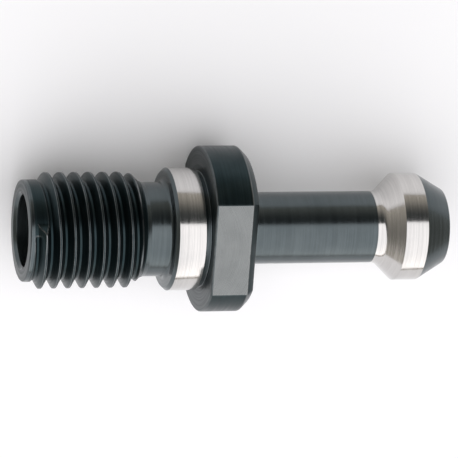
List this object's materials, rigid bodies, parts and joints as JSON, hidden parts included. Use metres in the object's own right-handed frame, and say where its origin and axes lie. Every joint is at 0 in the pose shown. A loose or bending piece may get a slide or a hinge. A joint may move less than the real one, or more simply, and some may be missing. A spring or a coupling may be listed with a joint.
{
  "type": "pull stud",
  "caption": "Pull stud for a machine-tool taper: threaded shank, ground pilot, flange with wrench flats, slim neck and a gripped head with a 45 degree shoulder.",
  "frame": {"origin": "on the stud's axis, in the plane of the flange's contact face, which seats on the end of the taper", "axes": "+X along the axis from the thread to the gripped head, +Z out of one wrench flat, so that the stud lies on the other flat"},
  "size_m": [0.06, 0.023, 0.019],
  "materials": {
    "steel": "black oxide all over, apart from the ground bright pilot, shoulder and head"
  },
  "bodies": {
    "root": {"pull_stud": "steel"}
  },
  "joints": []
}
